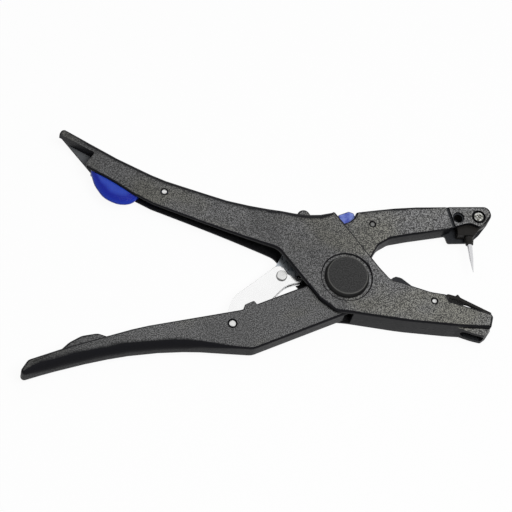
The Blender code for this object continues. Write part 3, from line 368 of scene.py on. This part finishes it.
def eroded_face(finish, grain, coarse, place):
    """Spark erosion: pale specks on a grey ground, denser in patches, paler towards the jaws by
    painted light and darker at the grips' ends by painted shade.
    """
    clouds = finish.noise(45.0, roughness=0.5)
    warm = finish.noise(24.0, detail=2.0, roughness=0.5, stretch=(1.0, 1.6, 1.0))
    specks = finish.ramp(grain, 0.46, 0.60)
    patches = finish.ramp(coarse, 0.38, 0.66, 0.0, 0.28)
    uneven = finish.ramp(clouds, 0.35, 0.62, 0.80, 1.0)
    amount = finish.combine("MULTIPLY", finish.combine("ADD", specks, patches), uneven)
    # Painted light pales the faces towards the jaws, and painted shade darkens them at the grips'
    # ends
    painted_light_toward_jaws = finish.along(place["X"], PAINTED_LIGHT_JAWS_X, 0.64, 1.0)
    painted_shade_at_grip_ends = finish.along(place["X"], PAINTED_SHADE_GRIP_ENDS_X, 0.35, 1.0)
    painted_light_and_shade = finish.combine("MULTIPLY", painted_light_toward_jaws, painted_shade_at_grip_ends)
    shade = finish.combine("MULTIPLY", amount, painted_light_and_shade)
    olive = finish.ramp(warm, 0.50, 0.66)
    pale = finish.blend(olive, (0.297, 0.297, 0.299), (0.302, 0.298, 0.264))
    return finish.blend(shade, (0.037, 0.037, 0.037), pale)


def with_smooth_places(finish, face, coarse, place, from_middle):
    """A moulding's face, and the smooth places in it that the erosion leaves out, with painted
    shade in the handles' channels and painted light on the rear cheek at the upper handle's tip.
    """
    # The sunk faces of the jaws are darker
    outer = finish.along(from_middle, SUNK_FACES)
    handles = finish.along(place["X"], JAWS_START_X, 1.0, 0.0)
    sunk = finish.blend(coarse, (0.016, 0.017, 0.019), (0.038, 0.040, 0.044))
    jaws = finish.blend(finish.combine("MAXIMUM", outer, handles), sunk, face)

    # The rear wall inside the handles' channels is painted nearly black: painted shade
    upward = finish.ramp(finish.axes("Normal")["Z"], 0.93, 0.99)
    rear_half = finish.along(place["Z"], REAR_HALF_Z, 1.0, 0.0)
    inside = finish.combine("MULTIPLY", upward, rear_half)
    channel = finish.combine("MULTIPLY", inside, handles)
    black = finish.blend(coarse, (0.006, 0.006, 0.007), (0.022, 0.022, 0.024))
    walled = finish.blend(channel, jaws, black)

    # The rear cheek that shows in the notch at the upper handle's tip is a smooth, uniform grey,
    # lightened by painted light
    near_tip = finish.along(place["X"], TIP_NOTCH_X, 1.0, 0.0)
    below = finish.along(place["Z"], TIP_NOTCH_Z, 1.0, 0.0)
    cheek = finish.combine("MULTIPLY", near_tip, below)
    painted_light_cheek_grey = finish.blend(coarse, (0.085, 0.089, 0.094), (0.125, 0.130, 0.137))
    return finish.blend(cheek, walled, painted_light_cheek_grey)


def moulded_nylon():
    """Dark glass-filled nylon: spark-eroded faces, smooth rims and sides painted near-black as
    shade, a faint parting line.
    """
    finish = Finish("Moulded nylon", specular=0.10)
    grain = finish.noise(1750.0, detail=1.5, roughness=0.6)
    coarse = finish.noise(800.0, roughness=0.6)
    place = finish.axes("Object")
    above_middle = finish.combine("SUBTRACT", place["Z"], MID_PLANE * MM)
    from_middle = finish.combine("ABSOLUTE", above_middle)
    front = finish.facing_front(0.945, 0.995)

    face = eroded_face(finish, grain, coarse, place)
    flat = with_smooth_places(finish, face, coarse, place, from_middle)
    # The smooth rims and sides are painted near-black: painted shade
    rim = finish.blend(coarse, (0.003, 0.003, 0.004), (0.007, 0.007, 0.009))
    # Painted shadow: the near-black of the rims fills the circles round the pins and the needle's
    # screw
    clear = finish.combine("SUBTRACT", 1.0, finish.inside_circles(PIN_SHADOWS))
    finish.colour(finish.blend(finish.combine("MULTIPLY", clear, front), rim, flat))
    finish.roughness(coarse, 0.3, 0.7, 0.38, 0.50)

    # The grain is raised, and so is the line that the moulds leave on the sides where they meet
    line = finish.along(from_middle, PARTING_LINE, 0.5, 0.0)
    height = finish.combine("MULTIPLY", coarse, front)
    fine = finish.combine("MULTIPLY", grain, 0.12)
    grained = finish.combine("ADD", height, fine)
    finish.relief(finish.combine("ADD", grained, line), 0.20, 0.8)
    return finish.material


def satin_plastic():
    """The pivot's cap: smooth, with a painted highlight at its edge, painted shade on its wall, and
    the faint rings of its turned mould.
    """
    finish = Finish("Satin cap plastic", specular=0.38)
    mottle = finish.ramp(finish.noise(1500.0, detail=2.0, roughness=0.6), 0.42, 0.62)
    top = finish.blend(mottle, (0.006, 0.006, 0.006), (0.032, 0.032, 0.032))
    edge = finish.facing_front(0.55, 0.80)
    past_edge = finish.facing_front(0.90, 0.985)
    # Painted shade darkens the wall, and a painted highlight pales the band round the edge
    wall = finish.blend(edge, (0.004, 0.004, 0.004), top)
    wear_and_painted_highlight = finish.combine("SUBTRACT", edge, past_edge)
    finish.colour(finish.blend(wear_and_painted_highlight, wall, (0.085, 0.085, 0.080)))
    finish.roughness(finish.noise(160.0, detail=4.0, roughness=0.6), 0.3, 0.7, 0.42, 0.52)
    rings = finish.node("ShaderNodeTexWave", wave_type="RINGS", rings_direction="Z")
    rings.inputs["Scale"].default_value = 700.0
    rings.inputs["Distortion"].default_value = 0.4
    finish.feed(rings.inputs["Vector"], finish.coords["Object"])
    finish.relief(finish.combine("ADD", rings.outputs["Fac"], finish.noise(2600.0)), 0.012)
    return finish.material


def blue_acetal():
    """Glossy blue plastic: a front face painted pale as a highlight, sides painted deep blue as
    shade and lighter where they turn furthest as a painted floor reflection, orange peel and fine
    scuffs.
    """
    finish = Finish("Blue acetal", specular=0.25)
    clouds = finish.noise(90.0)
    # Painted highlight on the front face, painted shade on the sides, and a painted floor
    # reflection where they turn furthest
    flat = finish.blend(clouds, (0.018, 0.046, 0.36), (0.028, 0.072, 0.52))
    deep = finish.blend(clouds, (0.001, 0.008, 0.24), (0.002, 0.016, 0.36))
    side = finish.blend(finish.facing_front(0.70, 0.93), (0.008, 0.034, 0.42), deep)
    finish.colour(finish.blend(finish.facing_front(0.965, 0.995), side, flat))
    scuffs = finish.noise(420.0, detail=6.0, roughness=0.7, stretch=(1.0, 5.0, 1.0))
    finish.roughness(scuffs, 0.40, 0.72, 0.20, 0.36)
    finish.relief(finish.noise(700.0, detail=2.0), 0.04, 0.6)
    return finish.material


def scuffed_blue_with_painted_highlight():
    """The latch's blue plastic: its front face is painted pale as a highlight and mottled by
    scuffs, its sides painted deep blue as shade.
    """
    finish = Finish("Scuffed blue acetal, painted highlight")
    scuffs = finish.noise(260.0, detail=4.0, roughness=0.6)
    wear_and_painted_highlight = finish.ramp(scuffs, 0.36, 0.62)
    # The front face is painted pale as a highlight, with scuffs in it; the sides are painted dark
    # as shade
    pale = finish.blend(wear_and_painted_highlight, (0.055, 0.085, 0.42), (0.22, 0.29, 0.68))
    finish.colour(finish.blend(finish.facing_front(), (0.004, 0.012, 0.14), pale))
    finish.roughness(scuffs, 0.3, 0.7, 0.26, 0.40)
    finish.relief(scuffs, 0.05, 0.6)
    return finish.material


def polished_steel():
    """Tumbled and polished steel: bright, with fine crossing scratches."""
    finish = Finish("Polished steel", metallic=1.0)
    tarnish = finish.noise(120.0, detail=4.0)
    finish.colour(finish.blend(tarnish, (0.90, 0.90, 0.90), (0.97, 0.97, 0.97)))
    lengthwise = finish.noise(900.0, detail=4.0, roughness=0.6, stretch=(1.0, 9.0, 1.0))
    crosswise = finish.noise(900.0, detail=4.0, roughness=0.6, stretch=(8.0, 1.0, 1.0))
    scratches = finish.combine("MULTIPLY", lengthwise, crosswise)
    finish.roughness(scratches, 0.15, 0.45, 0.12, 0.28)
    finish.relief(scratches, 0.015, 0.7)
    return finish.material


def tumbled_steel():
    """Tumbled pins and rivets: duller than the plates, with small dents and stains, and sides
    painted dark as shade.
    """
    finish = Finish("Tumbled steel", metallic=1.0)
    stains = finish.noise(420.0, detail=4.0, roughness=0.65)
    flat = finish.blend(stains, (0.64, 0.64, 0.63), (0.88, 0.88, 0.87))
    # The sides are painted dark: painted shade
    finish.colour(finish.blend(finish.facing_front(0.90, 0.98), (0.22, 0.22, 0.22), flat))
    dents = finish.noise(900.0, detail=4.0, roughness=0.6)
    finish.roughness(dents, 0.3, 0.7, 0.20, 0.38)
    finish.relief(dents, 0.09, 0.9)
    return finish.material


def grimy_steel():
    """The needle's screw: plated steel with patches of dirt, and its sides, in its recess and round
    its head, painted dark as shade.
    """
    finish = Finish("Grimy plated steel", metallic=1.0)
    dirt = finish.noise(700.0, detail=4.0, roughness=0.65)
    flat = finish.blend(finish.ramp(dirt, 0.44, 0.56), (0.13, 0.13, 0.11), (0.78, 0.78, 0.74))
    # The sides are painted dark: painted shade
    finish.colour(finish.blend(finish.facing_front(0.90, 0.98), (0.10, 0.10, 0.10), flat))
    finish.roughness(dirt, 0.4, 0.6, 0.55, 0.24)
    finish.relief(dirt, 0.12, 0.9)
    return finish.material


def link_steel():
    """The knee link: plain rolled steel with a blue-grey cast."""
    finish = Finish("Rolled steel", metallic=1.0)
    marks = finish.noise(300.0, detail=4.0, roughness=0.6, stretch=(3.0, 1.0, 1.0))
    finish.colour(finish.blend(marks, (0.44, 0.49, 0.54), (0.70, 0.74, 0.78)))
    finish.roughness(marks, 0.3, 0.7, 0.24, 0.40)
    finish.relief(marks, 0.03, 0.6)
    return finish.material


def needle_steel():
    """Ground needle steel, with fine marks round the needle."""
    finish = Finish("Ground needle steel", metallic=1.0)
    marks = finish.noise(700.0, detail=4.0, roughness=0.6, stretch=(1.0, 14.0, 1.0))
    finish.colour(finish.blend(marks, (0.55, 0.55, 0.57), (0.82, 0.82, 0.83)))
    finish.roughness(marks, 0.3, 0.7, 0.14, 0.30)
    finish.relief(marks, 0.01, 0.6)
    return finish.material


def black_oxide():
    """Oiled black steel, a little uneven, with a fine grain."""
    finish = Finish("Black oxide steel", specular=0.15)
    stains = finish.noise(240.0, detail=5.0, roughness=0.65)
    finish.colour(finish.blend(stains, (0.006, 0.006, 0.006), (0.022, 0.020, 0.018)))
    finish.roughness(stains, 0.3, 0.7, 0.30, 0.48)
    finish.relief(finish.noise(2100.0), 0.02, 0.5)
    return finish.material


def spring_wire():
    """Drawn wire, grey, with fine marks."""
    finish = Finish("Drawn spring wire", metallic=1.0)
    marks = finish.noise(1100.0)
    finish.colour(finish.blend(marks, (0.34, 0.34, 0.36), (0.58, 0.58, 0.60)))
    finish.roughness(marks, 0.3, 0.7, 0.25, 0.42)
    finish.relief(marks, 0.01, 0.5)
    return finish.material


def grey_pin():
    """The latch's pin, flush in the arm and as grey as its eroded face."""
    finish = Finish("Grey pin")
    grain = finish.noise(1300.0, roughness=0.7)
    finish.colour(finish.blend(grain, (0.06, 0.06, 0.06), (0.26, 0.26, 0.25)))
    finish.roughness(grain, 0.3, 0.7, 0.40, 0.55)
    finish.relief(grain, 0.08, 0.7)
    return finish.material


# What makes the finish of each slot
SLOT_FINISHES = {
    "moulded_nylon": moulded_nylon,
    "cap_plastic": satin_plastic,
    "blue_plastic": blue_acetal,
    "black_steel": black_oxide,
    "polished_steel": polished_steel,
    "needle_steel": needle_steel,
    "spring_steel": spring_wire,
}

# Nodes whose surface differs from the rest of their slot
NODE_FINISHES = {
    "knee_link": link_steel,
    "knee_rivet": tumbled_steel,
    "link_pin": tumbled_steel,
    "trigger_pin": tumbled_steel,
    "needle_screw": grimy_steel,
    "clip_pin": tumbled_steel,
    "latch_pin": grey_pin,
    "latch_lever": scuffed_blue_with_painted_highlight,
}


# Dressing the frame's nodes

def keep_crisp(thing, degrees):
    """Part the shading at the edges where the faces turn by more than an angle."""
    split = thing.modifiers.new("Crisp edges", "EDGE_SPLIT")
    split.split_angle = math.radians(degrees)
    split.use_edge_sharp = False


def dress(node, material):
    """Give a node its finish, and shade its curves smooth while its edges stay crisp."""
    node.data.materials.clear()
    node.data.materials.append(material)
    node.data.polygons.foreach_set("use_smooth", [True] * len(node.data.polygons))
    weld = node.modifiers.new("Weld", "WELD")
    weld.merge_threshold = WELD_REACH * MM
    keep_crisp(node, CRISP_EDGE_DEG)
    normals = node.modifiers.new("Flat faces", "WEIGHTED_NORMAL")
    normals.mode = "FACE_AREA"
    normals.weight = FLAT_FACE_WEIGHT
    normals.keep_sharp = True


def turned_cap(material):
    """The pivot's cap: a slightly crowned top with a soft edge, and a flared black wall darkened
    further by painted shade.
    """
    low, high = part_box("pivot_cap")
    rim = high.x / MM
    seat = low.z / MM
    top = high.z / MM
    profile = [
        (0.0, top), (6.0, top - 0.02), (10.0, top - 0.08), (10.6, top - 0.14),
        (10.95, top - 0.30), (11.2, top - 0.60), (11.45, top - 1.1),
        (12.0, seat + 0.9), (rim, seat + 0.5), (rim, seat),
        (CAP_HOLLOW_RADIUS, seat), (CAP_HOLLOW_RADIUS, CAP_HOLLOW_Z), (0.0, CAP_HOLLOW_Z),
    ]
    bm = bmesh.new()
    verts = [bm.verts.new((radius * MM, 0, z * MM)) for radius, z in profile]
    edges = [bm.edges.new(pair) for pair in zip(verts, verts[1:])]
    bmesh.ops.spin(bm, geom=verts + edges, cent=(0, 0, 0), axis=(0, 0, 1),
                   angle=2 * math.pi, steps=CAP_STEPS, use_merge=True)
    bmesh.ops.remove_doubles(bm, verts=bm.verts, dist=WELD_REACH * MM)
    bmesh.ops.recalc_face_normals(bm, faces=bm.faces)
    for face in bm.faces:
        face.smooth = True
    mesh = bpy.data.meshes.new("cap_turned")
    bm.to_mesh(mesh)
    bm.free()
    mesh.materials.append(material)
    cap = bpy.data.objects.new("cap_turned", mesh)
    bpy.context.scene.collection.objects.link(cap)
    keep_crisp(cap, CRISP_CAP_EDGE_DEG)
    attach(cap, "frame")
    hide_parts("pivot_cap")


def main():
    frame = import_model()
    bpy.context.scene.view_settings.view_transform = "Standard"
    slots = {part["node"]: part["material_slot"] for part in frame["record"]["subparts"]}
    makers = dict.fromkeys([*SLOT_FINISHES.values(), *NODE_FINISHES.values()])
    made = {make: make() for make in makers}
    for name, node in frame["nodes"].items():
        dress(node, made[NODE_FINISHES.get(name) or SLOT_FINISHES[slots[name]]])
    turned_cap(made[satin_plastic])
    place_camera()
    studio_world()
    roof_lamp()
    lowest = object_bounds()[0]
    pale_floor(lowest[2] - FLOOR_DROP * MM)


main()
